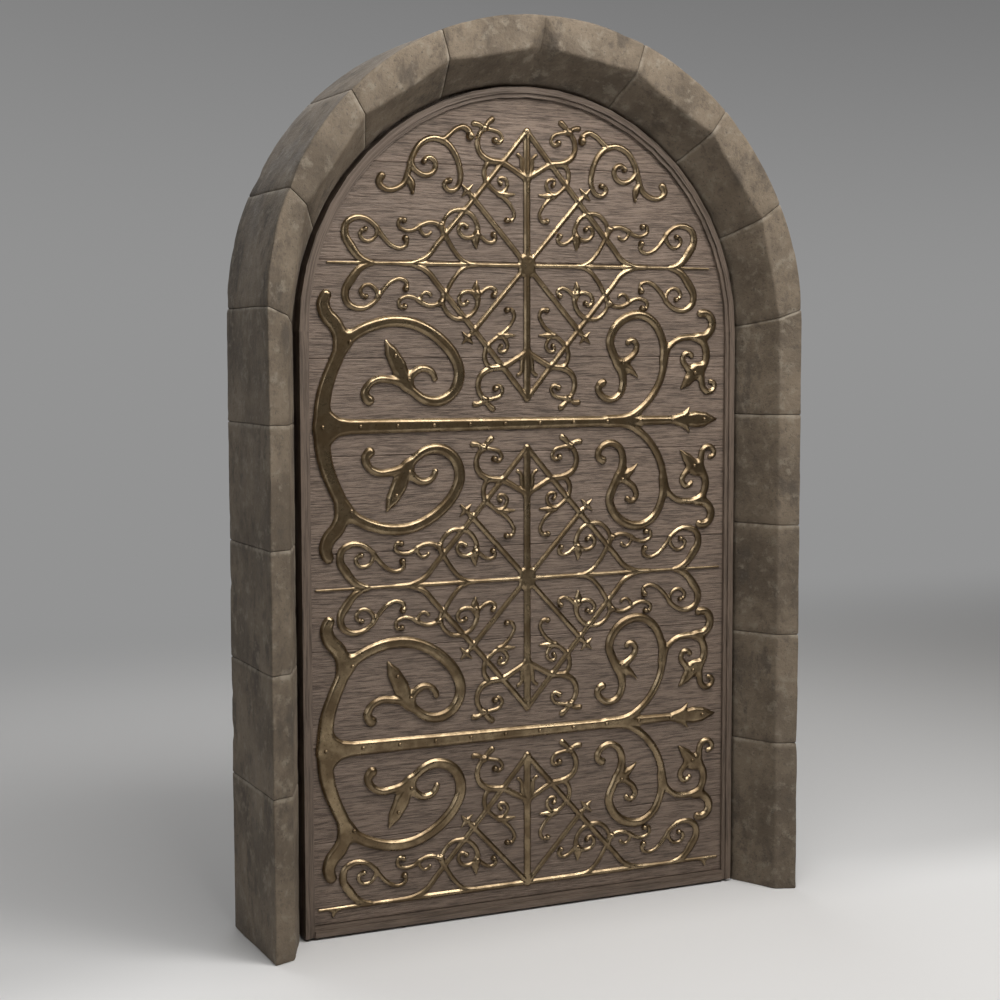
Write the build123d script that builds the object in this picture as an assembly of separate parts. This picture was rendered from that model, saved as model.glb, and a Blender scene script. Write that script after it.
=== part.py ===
from build123d import *
import os
from math import cos, radians, sin

# Round-headed church door in its dressed-stone surround, in millimetres.
# +Z is up, the front faces -Y, and the origin is on the floor at the centre of the footprint.

# Leaf
leaf_half_width = 720.0
spring_height = 1755.0
leaf_head_rise = 8.0
floor_gap = 8.0
rim_width = 30.0
rim_step_width = 12.0
rim_step_depth = 6.0
plank_recess = 16.0
plank_thickness = 40.0
plank_height = 281.0
board_count = 7
board_thickness = 48.0
board_overlap = 25.0
edge_chamfer = 3.0

# Stone surround
jamb_gap = 14.0
stone_width = 130.0
surround_depth = 390.0
leaf_setback = 161.0
face_width = 65.0
face_fall = 25.0
splay_depth = 175.0
stop_gap = 2.0
rebate_width = 26.0
rebate_depth = 51.0
rear_face_width = 32.0
foot_course_height = 470.0
course_height = 345.0
voussoir_count = 8
voussoir_facets = 3
skewback_angle = 2.0
arch_rise = 46.0
crown_setback = 48.0
crown_arris_setback = 24.0

# Ironwork on the front
base_bar_height = 84.0
bar_width = 12.0
base_bar_width = 16.0
bar_end_gap = 16.0
upper_bar_end_gap = 60.0
tracery_band = 13.0
tracery_thickness = 9.0
spray_band = 15.0
spray_thickness = 10.0
hinge_band = 34.0
hinge_thickness = 12.0
facet_sag = 7.0

# Rear hinges
hinge_inset = 10.0
pin_radius = 10.0
pin_clearance = 0.1
pin_stand = 8.0
eye_wall = 8.0
tang_height = 24.0
tang_width = 24.0
tang_cover = 34.0
socket_clearance = 0.4
seat_gap = 0.5
rear_strap_width = 60.0
rear_strap_end_width = 40.0
rear_strap_thickness = 10.0
rear_strap_point = 36.0

# Shares of the sizes that the layout follows
scroll_width_share = 0.58
scroll_height_share = 0.853
upper_bar_rise_share = 0.297
rear_strap_share = 0.82
lower_spread_share = 1.04
row_count = 4
head_facets = 24
curve_steps = 12
hundredth_share = 0.01

# Planes from front to back
front_y = -surround_depth / 2
back_y = surround_depth / 2
rim_front_y = front_y + leaf_setback
plank_front_y = rim_front_y + plank_recess
board_front_y = plank_front_y + plank_thickness
board_back_y = board_front_y + board_thickness
rebate_y = board_front_y - stop_gap

# Radii of the arch, which are also the half widths below the spring line
field_radius = leaf_half_width - rim_width
board_radius = leaf_half_width + board_overlap
throat_radius = leaf_half_width + jamb_gap
outer_radius = throat_radius + stone_width
face_radius = outer_radius - face_width
head_centre_height = spring_height + leaf_head_rise

# Sides of the surround's section that twist round the arch: the front face and the splay
front_sides = (1, 2)

# Rows of ironwork: bars and straps alternate up the leaf at one spacing
upper_bar_height = spring_height + field_radius * upper_bar_rise_share
row_spacing = (upper_bar_height - base_bar_height) / row_count
lower_strap_height = base_bar_height + row_spacing
middle_bar_height = lower_strap_height + row_spacing
upper_strap_height = middle_bar_height + row_spacing
bar_half_length = field_radius - bar_end_gap
upper_bar_half_length = field_radius - upper_bar_end_gap
scroll_width = field_radius * scroll_width_share
scroll_height = row_spacing * scroll_height_share
lower_spread = scroll_width * lower_spread_share

# Hinge line, behind the leaf at its left edge
eye_radius = pin_radius + pin_clearance + eye_wall
pivot_x = hinge_inset - board_radius
pivot_y = board_back_y + eye_radius

# One quarter of a tracery row: its strokes, each with the shares of its band width that it takes
# from start to end and the points it runs through, in hundredths of the scroll's width and height.
side_shares = ((1.1, 1.1, 0.6), ((0, 99), (72.5, 14.5), (81, 5), (91, 1), (101, 0)))
diagonal_shares = ((1.0, 1.1), ((0, 0), (45, 50)))
lyre_shares = (
    (1.1, 1.3, 1.0),
    ((2, 65), (10, 69.8), (20, 75), (30.5, 76.5), (38, 81.5), (40.2, 89.5), (35, 99)),
)
lyre_hook_shares = (
    (0.8, 0.7, 1.0),
    ((35, 99), (28, 98.5), (21.8, 96), (20.4, 91.4), (23.4, 89.4), (26, 91)),
)
vine_shares = (
    (1.0, 0.9, 0.7, 0.9),
    ((29.5, 76.2), (34.2, 70.5), (34, 62.5), (28, 55.5), (20, 50.2), (12.8, 42.8), (10.5, 36.5),
     (13, 32.8), (16.5, 33)),
)
wave_shares = (
    (0.9, 0.9, 0.7, 0.9),
    ((67, 22.5), (73, 29.2), (79, 30), (85, 28), (91, 24.4), (98, 23.9), (102.8, 27.6), (101.4, 31.4),
     (98.4, 31)),
)
loop_shares = (
    (0.8, 0.9, 1.0),
    ((67, 22), (68, 29.5), (65, 35), (59.5, 39), (52.5, 39.5), (45.8, 36.8), (41.5, 31.5), (40, 26.2),
     (41, 21.5)),
)
loop_curl_shares = (
    (0.9, 0.8, 0.8),
    ((40.2, 25.5), (43.2, 21.2), (48.6, 19.5), (53.5, 21.5), (55.4, 25.8), (52.4, 29.4), (49.2, 27.6)),
)
heart_shares = (
    (1.0, 1.8, 1.4, 1.0, 0.9, 0.7, 1.0),
    ((124, 0.5), (132, 3.5), (139.5, 12), (144, 20.5), (142.6, 28), (136.5, 32), (128.5, 31.8),
     (121.5, 27.5), (115, 19.2), (108, 12.8), (101.5, 11), (96.8, 13.6), (97.4, 18)),
)
heart_curl_shares = (
    (0.8, 0.7, 0.8),
    ((119.2, 25.4), (121, 18.5), (125.8, 15.5), (130.6, 17), (132.4, 21), (128.4, 24)),
)
quarter_strokes = (
    side_shares, diagonal_shares, lyre_shares, lyre_hook_shares, vine_shares, wave_shares, loop_shares,
    loop_curl_shares, heart_shares, heart_curl_shares,
)
hub_shares = ((5.5, 4.2), (3, 7.5), (-3, 7.5), (-5.5, 4.2), (-5.5, -4.2), (-3, -7.5), (3, -7.5), (5.5, -4.2))
base_barb_shares = ((148, 0), (154, -2), (158, -6.8), (159, -2.5), (162, 0))
upright_share = 98
upright_band_share = 1.6

# The spray at one side of the round head, from the centre of the upper tracery
spray_arch_shares = (
    (1.4, 0.9, 1.0, 1.1, 1.1, 1.0, 0.8, 0.9),
    ((115.6, 62), (117.4, 57), (113, 53), (106, 53), (99, 57), (95, 66), (91, 78), (84.5, 86.8), (76, 90.4),
     (66.5, 88.6), (58.8, 81), (54.6, 70.5), (54, 61), (58, 54.2), (64, 53.8), (66.6, 57.8), (62.4, 60.6)),
)
spray_tendril_shares = (
    (0.9, 0.9, 1.3),
    ((68, 89.2), (63, 93.2), (57, 98), (51.4, 99.6), (47.4, 97.2), (46, 93)),
)
spray_curl_shares = (
    (0.9, 0.9, 0.9),
    ((92.8, 73), (88.5, 66.5), (81, 63.8), (74.6, 67.4), (74, 73.6), (79, 76.4), (82.6, 73.6)),
)
spray_bud_shares = ((0.7, 1.4, 0.5), ((95.5, 63), (92.5, 57.5), (91.8, 50.5)))
spray_strokes = (spray_arch_shares, spray_tendril_shares, spray_curl_shares, spray_bud_shares)

# The upper half of a strap hinge. Its left strokes start from the left edge of the planked field
# and its right ones from the right edge.
crescent_shares = (
    (1.56, 1.47, 1.35, 1.24, 1.24, 1.35),
    ((10, 0), (10.2, 15), (12.6, 27.5), (17.6, 41), (23.4, 53.8), (26.4, 62.5)),
)
horn_shares = ((1.3, 1.4, 1.3, 1.2, 1.0), ((25.6, 60), (20.6, 73), (13.6, 81.2), (11.6, 88), (13.6, 94)))
volute_shares = (
    (1.06, 1.0, 1.0, 1.04, 1.0, 0.94, 0.8, 0.7, 0.66, 0.94),
    ((25.6, 59), (36.4, 67.2), (49.4, 72.8), (63.4, 75.6), (77.4, 74.8), (91, 69.8), (103, 61.6),
     (112.5, 50.8), (117, 38.8), (114, 26.6), (106.2, 19.4), (97.2, 17.2), (88, 19.4), (79.6, 25.4),
     (71.6, 30.8), (62, 33.4), (53, 33.8), (45.2, 29.4), (42.8, 23), (46, 18.8)),
)
volute_curl_shares = (
    (0.76, 0.7, 0.6, 0.54),
    ((76.4, 29), (80.6, 38), (87.6, 41.5), (94.6, 39.2), (97.4, 34)),
)
volute_leaf_shares = ((0.7, 1.25, 1.0, 0.1), ((75, 30), (69, 43), (63.6, 53), (58.8, 62)))
left_strokes = (crescent_shares, horn_shares, volute_shares, volute_curl_shares, volute_leaf_shares)
branch_shares = (
    (0.47, 0.7, 0.7, 0.75, 0.8, 0.85, 0.82, 0.78, 0.64, 0.6, 0.75),
    ((-104, 0.5), (-87.4, 2.8), (-73.4, 10.4), (-62.4, 22.6), (-56, 36.5), (-54.4, 50), (-56.8, 64),
     (-63.8, 75.4), (-74.4, 81), (-86.4, 79.6), (-96.8, 72.4), (-102, 60.6), (-98.4, 49.6), (-92.2, 38.6),
     (-90.6, 28), (-94.4, 19.6), (-101.8, 16.6), (-109.4, 20), (-112, 26), (-108, 29.6)),
)
branch_curl_shares = (
    (0.66, 0.6, 0.52, 0.52),
    ((-94, 43), (-86.2, 47.2), (-80.4, 52.2), (-78.8, 58), (-82.4, 61.8), (-86.4, 60)),
)
branch_barb_shares = ((0.6, 0.7, 0.1), ((-92, 43.5), (-84.9, 39.6), (-77.8, 33.2)))
fork_shares = (
    (0.54, 0.54, 0.6, 0.8, 0.82, 0.75),
    ((-55, 46), (-49.4, 57), (-42, 62.5), (-32.4, 64), (-22.4, 64), (-14.4, 67.4), (-11.2, 74.5),
     (-14.4, 81.2), (-21.9, 82.4)),
)
fork_stem_shares = (
    (0.66, 0.75, 0.75, 0.82),
    ((-23.4, 64), (-17.8, 57), (-16.4, 48.8), (-19.4, 41.4), (-26, 37.6)),
)
fork_curl_shares = (
    (0.6, 0.52, 0.48),
    ((-27, 36.6), (-34.4, 41.2), (-37.8, 47.4), (-34.4, 51.8), (-29.6, 49.6)),
)
fork_barb_shares = ((0.9, 0.82, 0.12), ((-25.5, 39.5), (-32.8, 30.6), (-39.4, 24.2)))
fork_tail_shares = (
    (0.7, 0.6, 0.5, 0.45),
    ((-22, 39.4), (-20.6, 31.2), (-19.4, 25), (-15.4, 21.6), (-10.4, 23), (-8.8, 27), (-12.6, 29.6)),
)
right_strokes = (
    branch_shares, branch_curl_shares, branch_barb_shares, fork_shares, fork_stem_shares, fork_curl_shares,
    fork_barb_shares, fork_tail_shares,
)
strap_left_shares = ((12, 13), (17.5, 10.5), (23, 6.8), (31, 5.4))
strap_right_shares = (
    (-97, 3.8), (-47.4, 3.2), (-37.4, 6), (-30.9, 10.5), (-32.4, 5.4), (-26, 6.4), (-17.4, 5.5), (-6.2, 0),
)


def slab(plan, y_front, y_back):
    """A plan drawn on the door's face, in X and Z, given thickness from y_front to y_back."""
    return extrude(Plane.XZ.offset(-y_back) * plan, y_back - y_front, dir=(0, -1, 0))


def plate(corners):
    """A flat plan with the given corners, facing up whichever way round they run."""
    return make_face(Polyline(*corners, close=True))


def mirrored(shape):
    return mirror(shape, about=Plane.YZ)


def arch_plan(half_width, bottom):
    """A round-headed panel on the centre of the leaf's head."""
    turns = [radians(180 * step / head_facets) for step in range(head_facets + 1)]
    head = [(half_width * cos(turn), head_centre_height + half_width * sin(turn)) for turn in turns]
    return plate([*head, (-half_width, bottom), (half_width, bottom)])


def stone_section(angle):
    """Section of the surround as (radius, y, centre height) corners, from the front outer one to the back.

    Round the arch the centre of each arc stands higher the further out the arc is, and the front falls back
    towards the crown.
    """
    rebate_radius = throat_radius + rebate_width
    climb = sin(radians(angle))
    corners = (
        (outer_radius, front_y + crown_setback * climb),
        (face_radius, front_y + face_fall + crown_arris_setback * climb),
        (throat_radius, front_y + splay_depth),
        (throat_radius, rebate_y),
        (rebate_radius, rebate_y),
        (rebate_radius, rebate_y + rebate_depth),
        (outer_radius - rear_face_width, back_y),
        (outer_radius, back_y),
    )
    slope = arch_rise / stone_width
    return [(radius, y, spring_height + slope * (radius - throat_radius)) for radius, y in corners]


def turned(section, angle):
    """A section of (radius, y, centre height) corners set at an angle of the round head."""
    turn = radians(angle)
    return [(radius * cos(turn), y, height + radius * sin(turn)) for radius, y, height in section]


def ring_solid(rings, warped_sides=()):
    """A solid through matching rings of corners. Sides that are not flat are split into triangles."""
    outlines = [rings[0], rings[-1]]
    for ring, following in zip(rings, rings[1:]):
        for side in range(len(ring)):
            first, second = ring[side - 1], ring[side]
            third, fourth = following[side], following[side - 1]
            if side in warped_sides:
                outlines += [(first, second, third), (third, fourth, first)]
            else:
                outlines.append((first, second, third, fourth))
    return Solid(Shell([Face(Wire.make_polygon(outline)) for outline in outlines]))


def stone_rings(start, end, facets):
    angles = [start + (end - start) * step / facets for step in range(facets + 1)]
    return [turned(stone_section(angle), angle) for angle in angles]


def voussoirs():
    step = (180 - 2 * skewback_angle) / voussoir_count
    for index in range(voussoir_count):
        start = skewback_angle + index * step
        yield ring_solid(stone_rings(start, start + step, voussoir_facets), front_sides)


def jamb_blocks():
    """The right jamb from the floor up. The top block ends in the skewback that the arch springs from."""
    section = [(radius, y) for radius, y, _ in stone_section(0)]
    upper_courses = max(1, round((spring_height - foot_course_height) / course_height))
    joints = [0.0] + [foot_course_height + course_height * index for index in range(upper_courses)]
    for bottom, top in zip(joints, joints[1:]):
        yield extrude(Plane.XY.offset(bottom) * plate(section), top - bottom, dir=(0, 0, 1))
    foot = [(radius, y, joints[-1]) for radius, y in section]
    yield ring_solid([foot, *stone_rings(0, skewback_angle, 1)], front_sides)


def tang(strap_height, clearance):
    """The square shank that holds a pintle in the left jamb, or the socket cut for it."""
    top = strap_height - rear_strap_width / 2 - seat_gap
    end_x = tang_cover - outer_radius
    low = (end_x, pivot_y - tang_width / 2 - clearance, top - tang_height - clearance)
    length = pivot_x + tang_width / 2 - end_x
    size = (length, tang_width + 2 * clearance, tang_height + 2 * clearance)
    return Pos(*low) * Box(*size, align=(Align.MIN, Align.MIN, Align.MIN))


def pintle(strap_height):
    """The pin that an eye turns on, standing on the square end of its shank."""
    top = strap_height - rear_strap_width / 2 - seat_gap
    pin_length = rear_strap_width + seat_gap + pin_stand
    pin = Pos(pivot_x, pivot_y, top) * Cylinder(
        pin_radius, pin_length, align=(Align.CENTER, Align.CENTER, Align.MIN)
    )
    return tang(strap_height, 0) + pin


def rear_strap(strap_height):
    """A plain tapered strap on the back of the leaf, rolled into an eye at the hinge line."""
    tip = pivot_x + 2 * leaf_half_width * rear_strap_share
    edge = (
        (pivot_x, rear_strap_width / 2),
        (tip - rear_strap_point, rear_strap_end_width / 2),
        (tip, 0),
        (tip - rear_strap_point, -rear_strap_end_width / 2),
        (pivot_x, -rear_strap_width / 2),
    )
    plan = Pos(0, strap_height) * plate(edge)
    strap = slab(plan, board_back_y, board_back_y + rear_strap_thickness)
    centre = Pos(pivot_x, pivot_y, strap_height)
    eye = strap + centre * Cylinder(eye_radius, rear_strap_width)
    return eye - centre * Cylinder(pin_radius + pin_clearance, rear_strap_width)


def planks():
    """Level planks, chamfered at their joints, cut to the round-headed field inside the rim."""
    bottom = floor_gap + rim_width
    top = head_centre_height + field_radius
    field = slab(arch_plan(field_radius, bottom), plank_front_y, board_front_y)
    count = max(1, round(top / plank_height))
    joints = [bottom] + [plank_height * index for index in range(1, count)] + [top]
    for low, high in zip(joints, joints[1:]):
        section = (
            (board_front_y, low),
            (board_front_y, high),
            (plank_front_y + edge_chamfer, high),
            (plank_front_y, high - edge_chamfer),
            (plank_front_y, low + edge_chamfer),
            (plank_front_y + edge_chamfer, low),
        )
        plank_plan = Plane.YZ.offset(-field_radius) * plate(section)
        plank = extrude(plank_plan, 2 * field_radius, dir=(1, 0, 0))
        yield plank & field


def back_boards():
    """Upright boards behind the planks, chamfered at their joints on the back."""
    panel = slab(arch_plan(board_radius, floor_gap), board_front_y, board_back_y)
    width = 2 * board_radius / board_count
    height = head_centre_height + board_radius - floor_gap
    for index in range(board_count):
        left = width * index - board_radius
        right = left + width
        section = (
            (left, board_front_y),
            (right, board_front_y),
            (right, board_back_y - edge_chamfer),
            (right - edge_chamfer, board_back_y),
            (left + edge_chamfer, board_back_y),
            (left, board_back_y - edge_chamfer),
        )
        board = extrude(Plane.XY.offset(floor_gap) * plate(section), height, dir=(0, 0, 1))
        yield board & panel


def rim_profile(edge, inward):
    """Section of the rim as (across, y) points: a flat band with a lower step on its inner side."""
    inner = edge + inward * rim_width
    step = inner - inward * rim_step_width
    return (
        (edge, rim_front_y),
        (edge, board_front_y),
        (inner, board_front_y),
        (inner, rim_front_y + rim_step_depth),
        (step, rim_front_y + rim_step_depth),
        (step, rim_front_y),
    )


def rim_pieces():
    side_profile = rim_profile(leaf_half_width, -1)
    stile_plan = Plane.XY.offset(floor_gap) * plate(side_profile)
    stile = extrude(stile_plan, head_centre_height - floor_gap, dir=(0, 0, 1))
    section = [(radius, y, head_centre_height) for radius, y in side_profile]
    head = ring_solid([turned(section, 180 * step / head_facets) for step in range(head_facets // 2 + 1)])
    rail_section = plate([(y, across) for across, y in rim_profile(floor_gap, 1)])
    rail = extrude(Plane.YZ.offset(-field_radius) * rail_section, 2 * field_radius, dir=(1, 0, 0))
    return {
        "rim_left": mirrored(stile),
        "rim_right": stile,
        "rim_bottom": rail,
        "rim_head_left": mirrored(head),
        "rim_head_right": head,
    }


def place(share, flip_x, flip_z, width=scroll_width, height=scroll_height):
    """A point of the scrollwork from its hundredths of the scroll's width and height."""
    across, up = share
    x = flip_x * across * hundredth_share * width
    return Vector(x, flip_z * up * hundredth_share * height)


def headings(corners):
    """The direction of a smooth curve at each of the corners that it runs through."""
    chords = [end - start for start, end in zip(corners, corners[1:])]
    if len(chords) == 1:
        return [chords[0].normalized()] * 2
    inner = []
    for before, after in zip(chords, chords[1:]):
        weighted = before.normalized() * after.length + after.normalized() * before.length
        inner.append(weighted.normalized())
    first = chords[0].normalized()
    last = chords[-1].normalized()
    start = first * (2 * first.dot(inner[0])) - inner[0]
    end = last * (2 * last.dot(inner[-1])) - inner[-1]
    return [start, *inner, end]


def smooth_line(corners):
    """Closely spaced points of a smooth curve through the corners."""
    directions = headings(corners)
    line = []
    for index in range(len(corners) - 1):
        start, end = corners[index], corners[index + 1]
        reach = (end - start).length
        for step in range(curve_steps):
            t = step / curve_steps
            blend = t * t * (3 - 2 * t)
            leave = t * (1 - t) * (1 - t) * reach
            arrive = t * t * (1 - t) * reach
            point = start * (1 - blend) + end * blend
            line.append(point + directions[index] * leave - directions[index + 1] * arrive)
    return line + [corners[-1]]


def facet_indices(line, first, last):
    """The fewest points of a line whose chords stay within the facet sag, as their indices."""
    chord = (line[last] - line[first]).normalized()
    sags = [(point - line[first]).cross(chord).length for point in line[first:last + 1]]
    worst = max(range(len(sags)), key=sags.__getitem__)
    if sags[worst] <= facet_sag:
        return [first, last]
    return facet_indices(line, first, first + worst)[:-1] + facet_indices(line, first + worst, last)


def width_at(widths, position):
    """A width between those that are spread evenly along a stroke, at a position from 0 to 1."""
    spot = position * (len(widths) - 1)
    index = min(int(spot), len(widths) - 2)
    return widths[index] + (widths[index + 1] - widths[index]) * (spot - index)


def stroke(shares, band, flip_x=1, flip_z=1, shift_x=0.0, width=scroll_width, height=scroll_height):
    """A flat band along a smooth curve, with the widths given along it."""
    width_shares, point_shares = shares
    shift = Vector(shift_x, 0)
    line = smooth_line([place(share, flip_x, flip_z, width, height) + shift for share in point_shares])
    last = len(line) - 1
    halves = [band * width_at(width_shares, index / last) / 2 for index in range(last + 1)]
    keep = facet_indices([point + Vector(0, 0, half) for point, half in zip(line, halves)], 0, last)
    left, right = [], []
    for order, index in enumerate(keep):
        behind = line[keep[max(order - 1, 0)]]
        ahead = line[keep[min(order + 1, len(keep) - 1)]]
        along = (ahead - behind).normalized()
        across = Vector(-along.Y, along.X) * halves[index]
        left.append(line[index] + across)
        right.append(line[index] - across)
    return plate([*left, *reversed(right)])


def tracery(bar_height, half_length, bar, halves, spread=scroll_width):
    """A rhombus of bars with scrolls in and around it, mirrored to the sides and, if whole, downwards."""
    plan = [Rectangle(2 * half_length, bar)]
    reach = upright_share * hundredth_share * scroll_height
    for flip_z in halves:
        plan.append(Pos(0, flip_z * reach / 2) * Rectangle(tracery_band * upright_band_share, reach))
        for flip_x in (1, -1):
            plan += [stroke(shares, tracery_band, flip_x, flip_z, width=spread) for shares in quarter_strokes]
    if len(halves) == 1:
        for flip_x in (1, -1):
            plan.append(plate([place(share, flip_x, 1) for share in base_barb_shares]))
    else:
        plan.append(plate([place(share, 1, 1) for share in hub_shares]))
    outline = Sketch() + plan
    return slab(Pos(0, bar_height) * outline, plank_front_y - tracery_thickness, plank_front_y)


def spray():
    """The left-hand scroll spray, as high as it is wide so that it keeps to the round head."""
    strokes = [stroke(shares, spray_band, flip_x=-1, height=scroll_width) for shares in spray_strokes]
    outline = Sketch() + strokes
    return slab(Pos(0, upper_bar_height) * outline, plank_front_y - spray_thickness, plank_front_y)


def hinge_strap(strap_height):
    """A strap with a crescent and volutes at its left end and scrolled branches at its right end."""
    plan = []
    edge = [place(share, 1, 1) - Vector(field_radius, 0) for share in strap_left_shares]
    edge += [place(share, 1, 1) + Vector(field_radius, 0) for share in strap_right_shares]
    below = [Vector(point.X, -point.Y) for point in reversed(edge[:-1])]
    plan.append(plate([*edge, *below]))
    for flip_z in (1, -1):
        plan += [stroke(shares, hinge_band, 1, flip_z, -field_radius) for shares in left_strokes]
        plan += [stroke(shares, hinge_band, 1, flip_z, field_radius) for shares in right_strokes]
    outline = Sketch() + plan
    return slab(Pos(0, strap_height) * outline, plank_front_y - hinge_thickness, plank_front_y)


def church_door():
    """Every piece of the door and its surround, by name."""
    pieces = {}
    strap_heights = {"lower": lower_strap_height, "upper": upper_strap_height}
    sockets = [tang(height, socket_clearance) for height in strap_heights.values()]
    for number, block in enumerate(jamb_blocks(), 1):
        pieces[f"right_jamb_{number}"] = block
        pieces[f"left_jamb_{number}"] = mirrored(block) - sockets
    for number, stone in enumerate(voussoirs(), 1):
        pieces[f"voussoir_{number}"] = stone
    for name, height in strap_heights.items():
        pieces[f"{name}_pintle"] = pintle(height)
        pieces[f"{name}_rear_strap"] = rear_strap(height)
        pieces[f"{name}_hinge_strap"] = hinge_strap(height)
    for number, plank in enumerate(planks(), 1):
        pieces[f"plank_{number}"] = plank
    for number, board in enumerate(back_boards(), 1):
        pieces[f"back_board_{number}"] = board
    pieces.update(rim_pieces())
    both = (1, -1)
    pieces["upper_tracery"] = tracery(upper_bar_height, upper_bar_half_length, bar_width, both)
    pieces["middle_tracery"] = tracery(middle_bar_height, bar_half_length, bar_width, both, lower_spread)
    pieces["lower_tracery"] = tracery(base_bar_height, bar_half_length, base_bar_width, (1,), lower_spread)
    pieces["left_spray"] = spray()
    pieces["right_spray"] = mirrored(pieces["left_spray"])
    return pieces


os.makedirs("parts", exist_ok=True)
for node, solid in church_door().items():
    export_step(solid, f"parts/{node}.step")
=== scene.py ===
from math import cos, degrees, dist, radians, sin

import bmesh
import bpy
import numpy as np
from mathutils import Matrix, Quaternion, Vector, noise


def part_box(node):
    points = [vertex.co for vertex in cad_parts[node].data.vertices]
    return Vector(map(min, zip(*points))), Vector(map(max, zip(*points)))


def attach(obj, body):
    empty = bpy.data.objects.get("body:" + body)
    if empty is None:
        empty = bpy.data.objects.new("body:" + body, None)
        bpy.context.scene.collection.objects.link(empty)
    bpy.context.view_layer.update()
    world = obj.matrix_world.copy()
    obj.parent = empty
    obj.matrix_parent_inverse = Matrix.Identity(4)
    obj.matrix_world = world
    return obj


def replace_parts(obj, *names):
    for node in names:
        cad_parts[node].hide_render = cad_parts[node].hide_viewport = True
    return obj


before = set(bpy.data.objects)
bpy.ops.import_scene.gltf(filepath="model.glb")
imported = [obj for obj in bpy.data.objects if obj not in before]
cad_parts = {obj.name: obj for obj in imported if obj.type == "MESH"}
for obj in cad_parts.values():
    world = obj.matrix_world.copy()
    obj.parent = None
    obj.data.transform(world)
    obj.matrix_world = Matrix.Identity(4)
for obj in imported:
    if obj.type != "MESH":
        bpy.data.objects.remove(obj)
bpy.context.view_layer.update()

# Round-headed church door in its dressed-stone surround. Metres, +Z up, the front faces -Y.
mm = 0.001

# Camera at the photograph's angle, with its focal length in pixels of a 1000-pixel frame
camera_place = Vector((-2.430, -5.020, 1.725))
camera_yaw = 25.076
camera_pitch = -4.793
camera_roll = 0.119
focal_pixels = 1852.6
frame_pixels = 1000
sensor_width = 36.0

# Planes and radii of the leaf and the surround, from the frame
rim_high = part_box("rim_right")[1]
plank_low, plank_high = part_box("plank_2")
jamb_low, jamb_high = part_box("right_jamb_1")
field_radius = plank_high[0]
head_centre_height = rim_high[2]
spring_drop = 8 * mm
spring_height = head_centre_height - spring_drop
plank_front = plank_low[1]
throat_radius = jamb_low[0]
outer_radius = jamb_high[0]
front_y = jamb_low[1]
back_y = jamb_high[1]

# Rows of ironwork: heights from the frame, scroll sizes as shares of it
scroll_width_share = 0.58
scroll_height_share = 0.853
lower_spread_share = 1.04
middle_low, middle_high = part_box("middle_tracery")
upper_low, upper_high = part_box("upper_tracery")
middle_row = (middle_low[2] + middle_high[2]) / 2
upper_row = (upper_low[2] + upper_high[2]) / 2
row_spacing = (upper_row - middle_row) / 2
base_row = middle_row - 2 * row_spacing
scroll_width = scroll_width_share * field_radius
scroll_height = scroll_height_share * row_spacing
lower_spread = lower_spread_share * scroll_width
hinge_rows = {"upper": middle_row + row_spacing, "lower": middle_row - row_spacing}

# Ironwork: a band is a stroke's full width, an edge share the upright part of a height
tracery_band = 14.5 * mm
tracery_height = 9 * mm
tracery_bevel = 6.0 * mm
tracery_edge_share = 0.42
tracery_blend = 6 * mm
tracery_pitch = 2.5 * mm
spray_band = 17 * mm
spray_height = 10 * mm
hinge_band = 32.5 * mm
hinge_height = 12 * mm
hinge_bevel = 7.5 * mm
hinge_edge_share = 0.4
hinge_blend = 18 * mm
hinge_pitch = 3.0 * mm
bar_width = 12 * mm
base_bar_width = 16 * mm
bar_shares = (0.5, 1, 1, 1, 0.5)
line_spacing = 1.5 * mm
grid_margin = 3
far_outside = -1.0
row_reach_share = 1.1
spray_reach_share = 1.3
knob_share = 1.45
knob_swell = 0.45
knob_least_width = 0.7
knob_least_points = 5
spray_knob_share = 0.6
relief_sink = 0.5 * mm
ridge_softness = 0.3
rivet_radius = 6.5 * mm
rivet_spacing = 115 * mm
rivet_start = -652 * mm
rivet_count = 12
nail_radius = 9 * mm
nail_count = 6
nail_start_gap = 110 * mm
nail_end_gap = 60 * mm
rear_strap_thickness = 10 * mm
dome_segments = 16
dome_rings = 10
dome_height_share = 0.85
dome_lift_share = 0.1

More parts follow.
